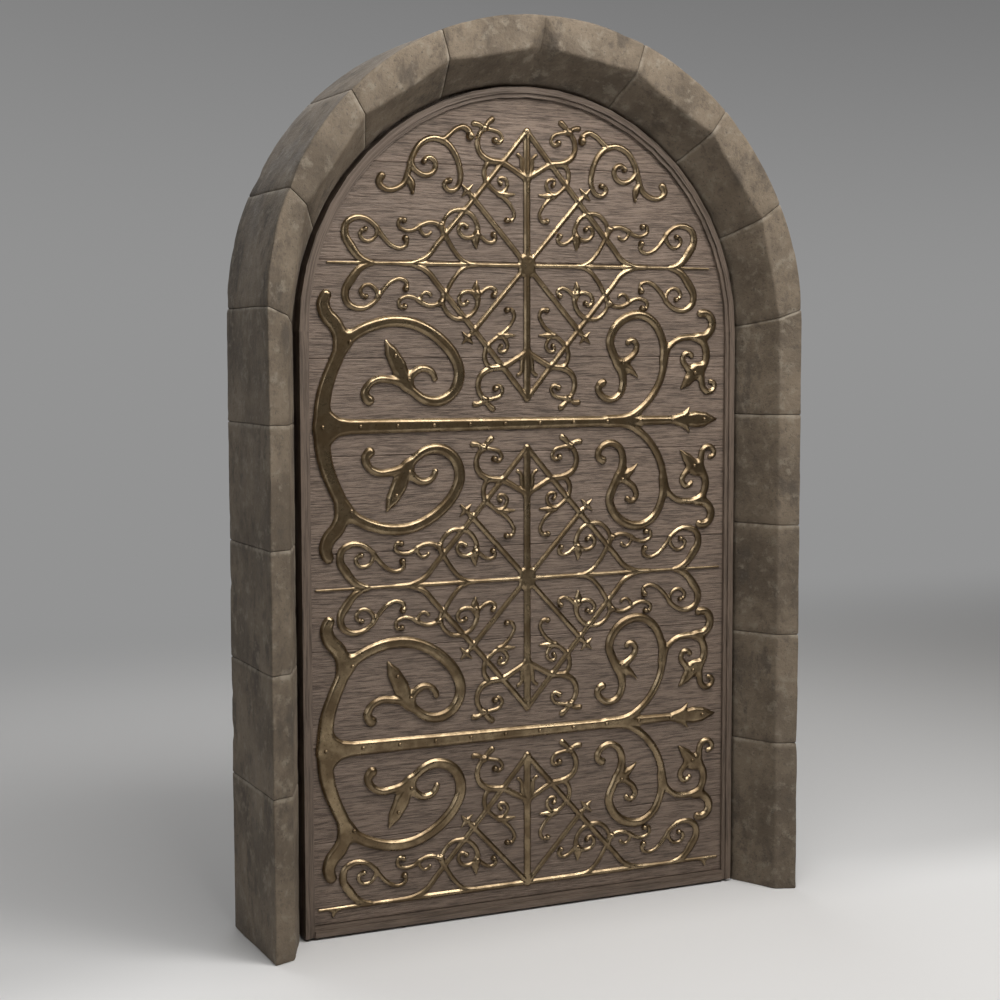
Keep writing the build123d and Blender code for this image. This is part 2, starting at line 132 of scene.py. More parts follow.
# One quarter of a tracery row: its strokes, each with the shares of its band width that it takes
# from start to end and the points it runs through, in hundredths of the scroll's width and height.
quarter_strokes = (
    ((1.1, 1.1, 0.6), ((0, 99), (72.5, 14.5), (81, 5), (91, 1), (101, 0))),
    ((1.0, 1.1), ((0, 0), (45, 50))),
    ((1.1, 1.3, 1.0), ((2, 65), (10, 69.8), (20, 75), (30.5, 76.5), (38, 81.5), (40.2, 89.5), (35, 99))),
    ((0.8, 0.7, 1.0), ((35, 99), (28, 98.5), (21.8, 96), (20.4, 91.4), (23.4, 89.4), (26, 91))),
    ((0.8, 1.3), ((35, 99), (32, 103), (28.5, 106))),
    ((0.8, 1.15), ((35, 99), (38.5, 101.8), (43, 102.4))),
    ((1.0, 0.9, 0.7, 0.9), ((29.5, 76.2), (34.2, 70.5), (34, 62.5), (28, 55.5), (20, 50.2), (12.8, 42.8),
                            (10.5, 36.5), (13, 32.8), (16.5, 33))),
    ((0.8, 0.7, 0.7), ((23, 52.2), (17.6, 55.6), (16, 60), (18.8, 63.8), (22.8, 63), (21.4, 59.6))),
    ((1.2, 1.0, 0.3), ((22.5, 52), (16, 51.8), (10, 52))),
    ((0.8, 0.7), ((1.6, 63), (4.4, 73), (5, 79), (7.6, 81.4))),
    ((0.7, 0.9, 0.9), ((43, 0.4), (52, 3), (59, 9.8), (64, 17.5), (70, 28))),
    ((0.9, 0.9, 0.7, 0.9), ((67, 22.5), (73, 29.2), (79, 30), (85, 28), (91, 24.4), (98, 23.9),
                            (102.8, 27.6), (101.4, 31.4), (98.4, 31))),
    ((0.7, 0.6, 0.7), ((86.4, 27.2), (85, 22.8), (81.8, 20.5), (77.8, 22.6))),
    ((0.8, 0.9, 1.0), ((67, 22), (68, 29.5), (65, 35), (59.5, 39), (52.5, 39.5), (45.8, 36.8), (41.5, 31.5),
                       (40, 26.2), (41, 21.5))),
    ((0.9, 0.8, 0.8), ((40.2, 25.5), (43.2, 21.2), (48.6, 19.5), (53.5, 21.5), (55.4, 25.8), (52.4, 29.4),
                       (49.2, 27.6))),
    ((0.9, 0.7, 0.9), ((41, 23.5), (37, 20), (33, 17.2), (28.8, 16.5), (25.8, 19), (27.4, 22.2))),
    ((0.9, 1.6, 0.3), ((41, 22.5), (41.8, 17.5), (41.2, 12))),
    ((1.0, 1.8, 1.4, 1.0, 0.9, 0.7, 1.0), ((124, 0.5), (132, 3.5), (139.5, 12), (144, 20.5), (142.6, 28),
                                           (136.5, 32), (128.5, 31.8), (121.5, 27.5), (115, 19.2),
                                           (108, 12.8), (101.5, 11), (96.8, 13.6), (97.4, 18))),
    ((0.8, 0.7, 0.8), ((119.2, 25.4), (121, 18.5), (125.8, 15.5), (130.6, 17), (132.4, 21), (128.4, 24))),
)
star_centre = (48.6, 53.6)
star_corners = (
    (5.0, 5.0), (0, 2.4), (-5.0, 5.0), (-2.4, 0), (-5.0, -5.0), (0, -2.4), (5.0, -5.0), (2.4, 0),
)
hub_corners = (
    (6.6, 4.6), (3.6, 8.2), (-3.6, 8.2), (-6.6, 4.6), (-6.6, -4.6), (-3.6, -8.2), (3.6, -8.2), (6.6, -4.6),
)
base_barb = ((148, 0), (154, -2), (158, -6.8), (159, -2.5), (162, 0))
upright_reach = 98
upright_band_share = 1.25

# The spray at one side of the round head, from the centre of the upper tracery
spray_strokes = (
    ((1.4, 0.9, 1.0, 1.1, 1.1, 1.0, 0.8, 0.9), ((115.6, 62), (117.4, 57), (113, 53), (106, 53), (99, 57),
                                                (95, 66), (91, 78), (84.5, 86.8), (76, 90.4), (66.5, 88.6),
                                                (58.8, 81), (54.6, 70.5), (54, 61), (58, 54.2), (64, 53.8),
                                                (66.6, 57.8), (62.4, 60.6))),
    ((0.9, 0.9, 1.3), ((68, 89.2), (63, 93.2), (57, 98), (51.4, 99.6), (47.4, 97.2), (46, 93))),
    ((0.9, 0.9, 0.9), ((92.8, 73), (88.5, 66.5), (81, 63.8), (74.6, 67.4), (74, 73.6), (79, 76.4),
                       (82.6, 73.6))),
    ((0.7, 1.4, 0.5), ((95.5, 63), (92.5, 57.5), (91.8, 50.5))),
)

# The upper half of a strap hinge: strokes from the left edge of the planked field, then from the right
left_strokes = (
    ((1.56, 1.47, 1.35, 1.24, 1.24, 1.35), ((10, 0), (10.2, 15), (12.6, 27.5), (17.6, 41), (23.4, 53.8),
                                            (26.4, 62.5))),
    ((1.3, 1.4, 1.3, 1.2, 1.0), ((25.6, 60), (20.6, 73), (13.6, 81.2), (11.6, 88), (13.6, 94))),
    ((1.06, 1.0, 1.0, 1.04, 1.0, 0.94, 0.8, 0.7, 0.66, 0.94),
     ((25.6, 59), (36.4, 67.2), (49.4, 72.8), (63.4, 75.6), (77.4, 74.8), (91, 69.8), (103, 61.6),
      (112.5, 50.8), (117, 38.8), (114, 26.6), (106.2, 19.4), (97.2, 17.2), (88, 19.4), (79.6, 25.4),
      (71.6, 30.8), (62, 33.4), (53, 33.8), (45.2, 29.4), (42.8, 23), (46, 18.8))),
    ((0.76, 0.7, 0.6, 0.54), ((76.4, 29), (80.6, 38), (87.6, 41.5), (94.6, 39.2), (97.4, 34))),
    ((0.75, 1.5, 1.2, 0.1), ((75, 30), (69, 43), (63.6, 53), (58.8, 62))),
)
right_strokes = (
    ((0.47, 0.7, 0.7, 0.75, 0.8, 0.85, 0.82, 0.78, 0.64, 0.6, 0.75),
     ((-104, 0.5), (-87.4, 2.8), (-73.4, 10.4), (-62.4, 22.6), (-56, 36.5), (-54.4, 50), (-56.8, 64),
      (-63.8, 75.4), (-74.4, 81), (-86.4, 79.6), (-96.8, 72.4), (-102, 60.6), (-98.4, 49.6), (-92.2, 38.6),
      (-90.6, 28), (-94.4, 19.6), (-101.8, 16.6), (-109.4, 20), (-112, 26), (-108, 29.6))),
    ((0.66, 0.6, 0.52, 0.52), ((-94, 43), (-86.2, 47.2), (-80.4, 52.2), (-78.8, 58), (-82.4, 61.8),
                               (-86.4, 60))),
    ((0.6, 0.7, 0.1), ((-92, 43.5), (-84.9, 39.6), (-77.8, 33.2))),
    ((0.54, 0.54, 0.6, 0.8, 0.82, 0.75), ((-55, 46), (-49.4, 57), (-42, 62.5), (-32.4, 64), (-22.4, 64),
                                          (-14.4, 67.4), (-11.2, 74.5), (-14.4, 81.2), (-21.9, 82.4))),
    ((0.66, 0.75, 0.75, 0.82), ((-23.4, 64), (-17.8, 57), (-16.4, 48.8), (-19.4, 41.4), (-26, 37.6))),
    ((0.6, 0.52, 0.48), ((-27, 36.6), (-34.4, 41.2), (-37.8, 47.4), (-34.4, 51.8), (-29.6, 49.6))),
    ((1.1, 1.0, 0.12), ((-25.5, 39.5), (-32.8, 30.6), (-39.4, 24.2))),
    ((0.7, 0.6, 0.5, 0.45), ((-22, 39.4), (-20.6, 31.2), (-19.4, 25), (-15.4, 21.6), (-10.4, 23), (-8.8, 27),
                             (-12.6, 29.6))),
)
strap_left = ((12, 13), (17.5, 10.5), (23, 6.8), (31, 5.4))
strap_right = (
    (-97, 3.8), (-47.4, 3.2), (-37.4, 6), (-30.9, 10.5), (-32.4, 5.4), (-26, 6.4), (-17.4, 5.5), (-6.2, 0),
)
loose_rivets = (
    (-567 * mm, 243 * mm), (-427 * mm, 203 * mm), (-385 * mm, 135 * mm), (322 * mm, 180 * mm),
    (578 * mm, 145 * mm),
)

# Stonework, with angles in degrees
face_width = 65 * mm
plain_arris = outer_radius - face_width
face_fall = 25 * mm
splay_depth = 175 * mm
rebate_y = 20 * mm
rebate_width = 26 * mm
rebate_depth = 51 * mm
rear_face_width = 32 * mm
voussoir_count = 8
skewback_angle = 2.0
arch_slope = 46 / 130
crown_setback = 48 * mm
crown_arris_setback = 24 * mm
arris_flare = 8 * mm
edge_rise = 7 * mm
crown_cut_right = 2.7
crown_cut_left = 3.8
crown_cut_depth = 34 * mm
crown_steps = (0.0, 0.5, 1.0, 1.5, 2.0, 2.7, 3.3, 3.8)
crown_gap = 0.3
arris_round = 7 * mm
arris_steps = (0.0, 0.33, 0.67, 1.0)
joint_inset = 5 * mm
joint_round_share = 0.3
end_rings = 2
# How many rings at a stone's upper end get the painted highlight
highlight_ring_count = 3
stone_step = 22 * mm
wear_seed = 7
wear_depth = 2.0 * mm
wave_scale = 7.0
ripple_scale = 31.0
ripple_share = 0.35
chip_depth = 9 * mm
chip_scale = 16.0
chip_threshold = 0.25
stone_crease = 38


# Small helpers

def add_object(name, mesh, material, body):
    """Puts a mesh in the scene as a piece that moves with a body of the frame."""
    piece = bpy.data.objects.new(name, mesh)
    bpy.context.scene.collection.objects.link(piece)
    mesh.materials.append(material)
    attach(piece, body)
    return piece


def smooth(mesh, angle):
    """Smooth shading, with edges sharper than an angle kept crisp."""
    mesh.shade_smooth()
    mesh.set_sharp_from_angle(angle=radians(angle))


# Ironwork as a raised relief

def smooth_line(points):
    """Closely spaced points of a smooth curve, and how far along its given points each one is."""
    points = np.array(points, float)
    chords = np.diff(points, axis=0)
    lengths = np.linalg.norm(chords, axis=1)
    units = chords / lengths[:, None]
    headings = np.vstack([units, units[-1:]])
    if len(units) > 1:
        inner = units[:-1] * lengths[1:, None] + units[1:] * lengths[:-1, None]
        inner /= np.linalg.norm(inner, axis=1)[:, None]
        start = units[0] * 2 * np.dot(units[0], inner[0]) - inner[0]
        end = units[-1] * 2 * np.dot(units[-1], inner[-1]) - inner[-1]
        headings = np.vstack([start, inner, end])
    line, spots = [], []
    for index, reach in enumerate(lengths):
        steps = max(2, int(reach / line_spacing))
        t = np.arange(steps)[:, None] / steps
        blend = t * t * (3 - 2 * t)
        leave = headings[index] * t * (1 - t) ** 2 * reach
        arrive = headings[index + 1] * t * t * (1 - t) * reach
        line.append(points[index] * (1 - blend) + points[index + 1] * blend + leave - arrive)
        spots.append((index + t[:, 0]) / len(lengths))
    line.append(points[-1:])
    spots.append([1.0])
    return np.vstack(line), np.concatenate(spots)


class Relief:
    """A raised pattern on a flat ground: how deep each point of a grid lies inside the pattern's outline."""

    def __init__(self, half_width, half_height, pitch, blend):
        self.pitch = pitch
        self.blend = blend
        reach_x = int(half_width / pitch) + grid_margin
        reach_z = int(half_height / pitch) + grid_margin
        self.x = pitch * np.arange(-reach_x, reach_x + 1)
        self.z = pitch * np.arange(-reach_z, reach_z + 1)
        self.depth = np.full((len(self.x), len(self.z)), far_outside)
        self.swell = np.zeros(self.depth.shape)

    def window(self, low, high):
        """The part of the grid between two corners."""
        first = np.searchsorted(self.x, low[0]), np.searchsorted(self.z, low[1])
        last = np.searchsorted(self.x, high[0]), np.searchsorted(self.z, high[1])
        return slice(first[0], last[0]), slice(first[1], last[1])

    def join(self, spot, depth):
        """Adds a shape, with a small hollow fillet where it meets what is there."""
        old = self.depth[spot]
        overlap = np.maximum(self.blend - np.abs(old - depth), 0) / self.blend
        self.depth[spot] = np.maximum(old, depth) + overlap ** 2 * self.blend / 4

    def stroke(self, shares, band, unit, shift=(0.0, 0.0), knob=0.0):
        """A band along a smooth curve: widths are shares of the band, points hundredths of the unit."""
        width_shares, point_shares = shares
        line, spots = smooth_line(np.array(point_shares) * np.array(unit) / 100 + np.array(shift))
        places = np.linspace(0, 1, len(width_shares))
        halves = np.interp(spots, places, np.array(width_shares) * band / 2)
        halves[-1] = max(halves[-1], knob)
        reach = halves.max() + 2 * self.blend
        spot = self.window(line.min(0) - reach, line.max(0) + reach)
        x, z = self.x[spot[0]], self.z[spot[1]]
        depth = np.full((len(x), len(z)), far_outside)
        for (point_x, point_z), half in zip(line, halves):
            i = np.searchsorted(x, (point_x - reach, point_x + reach))
            k = np.searchsorted(z, (point_z - reach, point_z + reach))
            near = depth[i[0]:i[1], k[0]:k[1]]
            far = np.hypot(x[i[0]:i[1], None] - point_x, z[None, k[0]:k[1]] - point_z)
            np.maximum(near, half - far, out=near)
        self.join(spot, depth)
        if knob:
            point_x, point_z = line[-1]
            far = np.hypot(x[:, None] - point_x, z[None, :] - point_z)
            dome = knob_swell * np.sqrt(np.maximum(knob ** 2 - far ** 2, 0))
            self.swell[spot] = np.maximum(self.swell[spot], dome)

    def polygon(self, corners):
        """A plate with straight edges."""
        corners = np.array(corners)
        reach = 2 * self.blend
        spot = self.window(corners.min(0) - reach, corners.max(0) + reach)
        x, z = np.meshgrid(self.x[spot[0]], self.z[spot[1]], indexing="ij")
        nearest = np.full(x.shape, 1.0)
        inside = np.zeros(x.shape, bool)
        for start, end in zip(corners, np.roll(corners, -1, axis=0)):
            along = end - start
            t = ((x - start[0]) * along[0] + (z - start[1]) * along[1]) / np.dot(along, along)
            t = np.clip(t, 0, 1)
            nearest = np.minimum(nearest, np.hypot(x - start[0] - t * along[0], z - start[1] - t * along[1]))
            if start[1] != end[1]:
                spans = (start[1] > z) != (end[1] > z)
                inside ^= spans & (x < start[0] + (z - start[1]) * along[0] / along[1])
        self.join(spot, np.where(inside, nearest, -nearest))

    def mirror(self, across=False, up=False):
        """Repeats the pattern on the other side of the middle."""
        everything = (slice(None), slice(None))
        if across:
            self.join(everything, self.depth[::-1, :].copy())
            self.swell = np.maximum(self.swell, self.swell[::-1, :])
        if up:
            self.join(everything, self.depth[:, ::-1].copy())
            self.swell = np.maximum(self.swell, self.swell[:, ::-1])

    def mesh(self, name, centre, height, bevel, edge_share):
        """A closed mesh: upright edges, then a bevel up to a level face.

        Its flat back is sunk a little into the ground.
        """
        depth = self.depth
        inside = depth > 0
        ids = np.full(inside.shape, -1)
        ids[inside] = np.arange(inside.sum())
        grid_x, grid_z = np.meshgrid(self.x, self.z, indexing="ij")
        xs, zs, depths, swells = [grid_x[inside]], [grid_z[inside]], [depth[inside]], [self.swell[inside]]
        inner_count = int(inside.sum())
        count = inner_count
        crossings = []
        for axis in (0, 1):
            lead = (slice(None, -1), slice(None)) if axis == 0 else (slice(None), slice(None, -1))
            trail = (slice(1, None), slice(None)) if axis == 0 else (slice(None), slice(1, None))
            cut = inside[lead] != inside[trail]
            share = depth[lead][cut] / (depth[lead][cut] - depth[trail][cut])
            xs.append(grid_x[lead][cut] + (share * self.pitch if axis == 0 else 0))
            zs.append(grid_z[lead][cut] + (share * self.pitch if axis == 1 else 0))
            depths.append(np.zeros(cut.sum()))
            swells.append(np.zeros(cut.sum()))
            numbers = np.full(cut.shape, -1)
            numbers[cut] = count + np.arange(cut.sum())
            count += int(cut.sum())
            crossings.append(numbers)
        faces, sides = [], []
        corners = inside[:-1, :-1], inside[1:, :-1], inside[1:, 1:], inside[:-1, 1:]
        for i, k in zip(*np.nonzero(corners[0] | corners[1] | corners[2] | corners[3])):
            loop = (
                ids[i, k], crossings[0][i, k], ids[i + 1, k], crossings[1][i + 1, k],
                ids[i + 1, k + 1], crossings[0][i, k + 1], ids[i, k + 1], crossings[1][i, k],
            )
            face = [int(vertex) for vertex in loop if vertex >= 0]
            if len(face) > 2:
                faces.append(face)
                for start, end in zip(face, face[1:] + face[:1]):
                    if min(start, end) >= inner_count:
                        sides.append((end, start, start + count, end + count))
        share = np.concatenate(depths) / bevel
        level = np.clip(0.5 + 0.5 * (1 - share) / ridge_softness, 0, 1)
        share = 1 - level + share * level - ridge_softness * level * (1 - level)
        rise = relief_sink + height * (edge_share + (1 - edge_share) * share) + np.concatenate(swells)
        base = plank_front + relief_sink
        x = np.concatenate(xs) + centre[0]
        z = np.concatenate(zs) + centre[1]
        top = np.column_stack([x, base - rise, z])
        bottom = np.column_stack([x, np.full(len(x), base), z])
        back = [[vertex + count for vertex in reversed(face)] for face in faces]
        result = bpy.data.meshes.new(name)
        result.from_pydata(np.vstack([top, bottom]).tolist(), [], faces + back + sides)
        result.shade_smooth()
        ends = np.empty(2 * len(result.edges), int)
        result.edges.foreach_get("vertices", ends)
        ends = ends.reshape(-1, 2)
        on_outline = (ends % count >= inner_count).all(axis=1)
        on_one_level = (ends[:, 0] < count) == (ends[:, 1] < count)
        crisp = result.attributes.new("sharp_edge", "BOOLEAN", "EDGE")
        crisp.data.foreach_set("value", on_outline & on_one_level)
        return result


def scroll_point(share, shift=0.0):
    """A point given in hundredths of the scroll's width and height."""
    return share[0] * scroll_width / 100 + shift, share[1] * scroll_height / 100


def fix_relief(node, relief, row, height, bevel, edge_share, brass):
    """Puts a relief on the leaf in place of the node's own solid."""
    mesh = relief.mesh(node, (0.0, row), height, bevel, edge_share)
    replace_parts(add_object(f"{node}_relief", mesh, brass, "leaf"), node)


def tracery(node, row, half_length, width, whole, spread, brass):
    """A rhombus of bars with scrolls in and around it. The lowest row has only the upper half."""
    unit = (spread, scroll_height)
    relief = Relief(field_radius, row_reach_share * scroll_height, tracery_pitch, tracery_blend)
    for widths, points in quarter_strokes:
        ends_free = widths[-1] >= knob_least_width and len(points) >= knob_least_points
        knob = knob_share * widths[-1] * tracery_band / 2 if ends_free else 0.0
        relief.stroke((widths, points), tracery_band, unit, knob=knob)
    star = [(star_centre[0] + x, star_centre[1] + z) for x, z in star_corners]
    relief.polygon([(x * spread / 100, z * scroll_height / 100) for x, z in star])
    upright = ((upright_band_share, upright_band_share), ((0, 0), (0, upright_reach)))
    relief.stroke(upright, tracery_band, unit)
    if not whole:
        relief.polygon([scroll_point(corner) for corner in base_barb])
        relief.depth[:, relief.z < -2 * base_bar_width] = far_outside
    relief.mirror(across=True, up=whole)
    bar = (bar_shares, ((-100, 0), (100, 0)))
    relief.stroke(bar, width, (half_length, scroll_height))
    if whole:
        relief.polygon([scroll_point(corner) for corner in hub_corners])
    fix_relief(node, relief, row, tracery_height, tracery_bevel, tracery_edge_share, brass)


def spray(node, side, brass):
    """One of the two scroll sprays in the round head."""
    unit = (scroll_width, scroll_width)
    half_width = spray_reach_share * scroll_width
    relief = Relief(half_width, row_reach_share * scroll_width, tracery_pitch, tracery_blend)
    for widths, points in spray_strokes:
        knob = widths[-1] * spray_band * spray_knob_share
        relief.stroke((widths, points), spray_band, unit, knob=knob)
    if side < 0:
        relief.depth = relief.depth[::-1, :]
        relief.swell = relief.swell[::-1, :]
    fix_relief(node, relief, upper_row, spray_height, tracery_bevel, tracery_edge_share, brass)


def hinge_strap(node, row, brass):
    """A strap with a crescent and volutes at its left end and scrolled branches at its right end."""
    unit = (scroll_width, scroll_height)
    relief = Relief(field_radius, row_reach_share * scroll_height, hinge_pitch, hinge_blend)
    for shares in left_strokes:
        relief.stroke(shares, hinge_band, unit, (-field_radius, 0.0))
    for shares in right_strokes:
        relief.stroke(shares, hinge_band, unit, (field_radius, 0.0))
    relief.mirror(up=True)
    edge = [scroll_point(share, -field_radius) for share in strap_left]
    edge += [scroll_point(share, field_radius) for share in strap_right]
    relief.polygon(edge + [(x, -z) for x, z in reversed(edge[:-1])])
    fix_relief(node, relief, row, hinge_height, hinge_bevel, hinge_edge_share, brass)


def domes(name, places, radius, face_y, outward, material):
    """Rivet or nail heads as one piece: flattened balls at (x, z) places, about half sunk in a plane."""
    heads = bmesh.new()
    y = face_y + outward * dome_lift_share * radius
    for x, z in places:
        made = bmesh.ops.create_uvsphere(
            heads, u_segments=dome_segments, v_segments=dome_rings, radius=radius
        )
        bmesh.ops.scale(heads, verts=made["verts"], vec=(1, dome_height_share, 1))
        bmesh.ops.translate(heads, verts=made["verts"], vec=(x, y, z))
    mesh = bpy.data.meshes.new(name)
    heads.to_mesh(mesh)
    heads.free()
    mesh.shade_smooth()
    add_object(name, mesh, material, "leaf")


def rivets(brass):
    """The rivets through the two strap hinges."""
    face = plank_front - hinge_height
    for name, row in hinge_rows.items():
        places = [(rivet_start + rivet_spacing * index, row) for index in range(rivet_count)]
        for x, rise in loose_rivets:
            places += [(x, row + rise), (x, row - rise)]
        domes(f"{name}_hinge_rivets", places, rivet_radius, face, -1, brass)


def rear_nails(iron):
    """The nail heads that hold the two rear straps to the boards."""
    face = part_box("back_board_4")[1][1] + rear_strap_thickness
    for name in ("lower", "upper"):
        low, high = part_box(f"{name}_rear_strap")
        start = low[0] + nail_start_gap
        end = high[0] - nail_end_gap
        step = (end - start) / (nail_count - 1)
        places = [(start + step * index, (low[2] + high[2]) / 2) for index in range(nail_count)]
        domes(f"{name}_rear_strap_nails", places, nail_radius, face, 1, iron)


# Stonework

def stone_corners(angle=0.0, arris_radius=plain_arris):
    """Section of the surround as (radius, y) corners, from the front outer corner to the back one."""
    rebate_radius = throat_radius + rebate_width
    climb = sin(radians(angle))
    edge_radius = outer_radius + edge_rise * climb
    return [
        (edge_radius, front_y + crown_setback * climb),
        (arris_radius, front_y + face_fall + crown_arris_setback * climb),
        (throat_radius, front_y + splay_depth),
        (throat_radius, rebate_y),
        (rebate_radius, rebate_y),
        (rebate_radius, rebate_y + rebate_depth),
        (edge_radius - rear_face_width, back_y),
        (edge_radius, back_y),
    ]


def centre_height(radius):
    """The height of an arc's centre: it stands higher the further out the arc is."""
    return spring_height + arch_slope * (radius - throat_radius)


joint_angle = degrees(joint_inset / outer_radius)
side_counts = []
plain_corners = stone_corners()
for corner, following in zip(plain_corners, plain_corners[1:] + plain_corners[:1]):
    side_counts.append(max(1, round(dist(corner, following) / stone_step)))


def worn_section(corners, inset):
    """Points round a section, drawn in by an inset, with rounded corners.

    With each point go its outward direction and whether it is on a corner.
    """
    corners = [Vector(corner) for corner in corners]
    points = []
    for index, corner in enumerate(corners):
        before = (corners[index - 1] - corner).normalized()
        after = (corners[(index + 1) % len(corners)] - corner).normalized()
        start = corner + before * arris_round
        end = corner + after * arris_round
        for t in arris_steps:
            points.append((start * (1 - t) ** 2 + corner * 2 * t * (1 - t) + end * t * t, True))
        following = corners[(index + 1) % len(corners)]
        last = following - after * arris_round
        for step in range(1, side_counts[index]):
            points.append((end.lerp(last, step / side_counts[index]), False))
    drawn = []
    for index, (point, on_corner) in enumerate(points):
        along = points[(index + 1) % len(points)][0] - points[index - 1][0]
        outward = Vector((-along.y, along.x)).normalized()
        drawn.append((point - outward * inset, outward, on_corner))
    return drawn


def worn(place, outward, on_corner):
    """A stone's surface point after weathering: gentle waves all over, and chips along the edges."""
    wave = noise.noise_vector(place * wave_scale) * wear_depth
    wave += noise.noise_vector(place * ripple_scale) * wear_depth * ripple_share
    chip = 0.0
    if on_corner:
        chip = max(0.0, noise.noise(place * chip_scale) - chip_threshold) * chip_depth
    moved = place + wave - outward * chip
    moved.z = max(moved.z, 0.0)
    return moved


def stone(node, rings, highlight_rings, material):
    """A stone through rings of (place, outward, on_corner) points, closed, with a painted highlight on some
    rings.
    """
    size = len(rings[0])
    vertices = [worn(*point) for ring in rings for point in ring]
    faces = []
    for step in range(len(rings) - 1):
        near = step * size
        far = near + size
        for index in range(size):
            after = (index + 1) % size
            faces.append((near + index, near + after, far + after, far + index))
    faces.append(tuple(reversed(range(size))))
    faces.append(tuple(range((len(rings) - 1) * size, len(rings) * size)))
    mesh = bpy.data.meshes.new(node)
    mesh.from_pydata(vertices, [], faces)
    whole = bmesh.new()
    whole.from_mesh(mesh)
    bmesh.ops.recalc_face_normals(whole, faces=whole.faces)
    whole.to_mesh(mesh)
    whole.free()
    smooth(mesh, stone_crease)
    # Painted highlight: the marked rings at a stone's upper end are coloured lighter, as if lit from above
    highlight_layer = mesh.attributes.new("painted_highlight", "FLOAT", "POINT")
    ring_highlight = [float(step in highlight_rings) for step in range(len(rings))]
    highlight_layer.data.foreach_set("value", np.repeat(ring_highlight, size))
    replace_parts(add_object(f"{node}_worn", mesh, material, "surround"), node)


def steps_between(start, end, step, inset):
    """Places along a stone, each with how far its ring is drawn in: both ends are rounded."""
    count = max(2, round((end - start) / step))
    inner = [start + inset + (end - start - 2 * inset) * index / count for index in range(count + 1)]
    near = joint_round_share * inset
    first = [(start, joint_inset), (start + near, joint_round_share * joint_inset)]
    last = [(end - near, joint_round_share * joint_inset), (end, joint_inset)]
    return first + [(place, 0.0) for place in inner] + last


def jamb_stone(node, side, material):
    """A block of a jamb. The top one goes on into the start of the arch."""
    low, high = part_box(node)
    is_top = high[2] > spring_height
    rings = []
    rise = high[2] - low[2]
    for share, inset in steps_between(0.0, 1.0, stone_step / rise, joint_inset / rise):
        ring = []
        for point, outward, on_corner in worn_section(plain_corners, inset):
            top = centre_height(point.x) if is_top else high[2]
            place = Vector((side * point.x, point.y, low[2] + (top - low[2]) * share))
            ring.append((place, Vector((side * outward.x, outward.y, 0)), on_corner))
        rings.append(ring)
    if is_top:
        del rings[-end_rings:]
        arch_places = steps_between(0.0, skewback_angle, skewback_angle, joint_angle)
        for angle, inset in arch_places[end_rings + 1:]:
            section = worn_section(stone_corners(angle), inset)
            rings.append(arch_ring(angle if side > 0 else 180 - angle, section))
    # The top rings of a jamb stone get the painted highlight
    stone(node, rings, range(len(rings) - highlight_ring_count, len(rings)), material)


def arch_ring(angle, section):
    """A section stood up at an angle of the arch, from the right springing."""
    turn = radians(angle)
    out = Vector((cos(turn), 0, sin(turn)))
    depth = Vector((0, 1, 0))
    ring = []
    for point, outward, on_corner in section:
        place = out * point.x + depth * point.y + Vector((0, 0, centre_height(point.x)))
        ring.append((place, out * outward.x + depth * outward.y, on_corner))
    return ring


def straight_radius(angle, start, end, radii):
    """The radius of a straight line between two joints, at an angle between them."""
    before = sin(radians(angle - start))
    after = sin(radians(end - angle))
    return radii[0] * radii[1] * sin(radians(end - start)) / (radii[0] * before + radii[1] * after)


def crown_cut(radius, arris, angle):
    """How far the three-cornered facet at the crown lies behind the plain face and splay."""
    reach = crown_cut_left if angle > 90 else crown_cut_right
    edge = outer_radius + edge_rise
    top = arris + (edge - arris) * (1 - abs(angle - 90) / reach)
    if top <= arris:
        return 0.0
    share = (radius - throat_radius) / (arris - throat_radius) if radius < arris else 1.0
    return crown_cut_depth * share * max(0.0, top - max(radius, arris)) / (edge - arris)


def arch_stone(index, material):
    """A voussoir, with a front arris that runs straight from joint to joint."""
    span = (180 - 2 * skewback_angle) / voussoir_count
    start = skewback_angle + index * span
    end = start + span
    flares = [0.0 if joint in (0, voussoir_count) else arris_flare for joint in (index, index + 1)]
    arris_radii = [plain_arris + flare for flare in flares]
    places = steps_between(start, end, degrees(stone_step / outer_radius), joint_angle)
    crown = voussoir_count // 2
    if index + 1 == crown:
        places = [place for place in places if place[0] < 90 - crown_steps[-1] - crown_gap]
        places += [(90 - step, 0.0) for step in reversed(crown_steps)]
    if index == crown:
        places = [place for place in places if place[0] > 90 + crown_steps[-1] + crown_gap]
        places = [(90 + step, 0.0) for step in crown_steps] + places
    rings = []
    for angle, drawn in places:
        arris = straight_radius(angle, start, end, arris_radii)
        section = worn_section(stone_corners(angle, arris), drawn)
        for point, *_ in section:
            if point.y < front_y + splay_depth:
                point.y += crown_cut(point.x, arris, angle)
        rings.append(arch_ring(angle, section))
    # The upper end of a voussoir gets the painted highlight: its last rings on the right half, its first
    # rings on the left
    highlight_rings = range(0)
    if index + 1 < crown:
        highlight_rings = range(len(rings) - highlight_ring_count, len(rings))
    if index > crown:
        highlight_rings = range(highlight_ring_count)
    stone(f"voussoir_{index + 1}", rings, highlight_rings, material)


def stonework(material):
    """All stones of the jambs and the arch. The seed makes their weathering the same in each run."""
    noise.seed_set(wear_seed)
    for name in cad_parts:
        if "_jamb_" in name:
            jamb_stone(name, -1 if name.startswith("left") else 1, material)
    for index in range(voussoir_count):
        arch_stone(index, material)


# Materials: colours, depths of the bump, and grain as lines to a metre

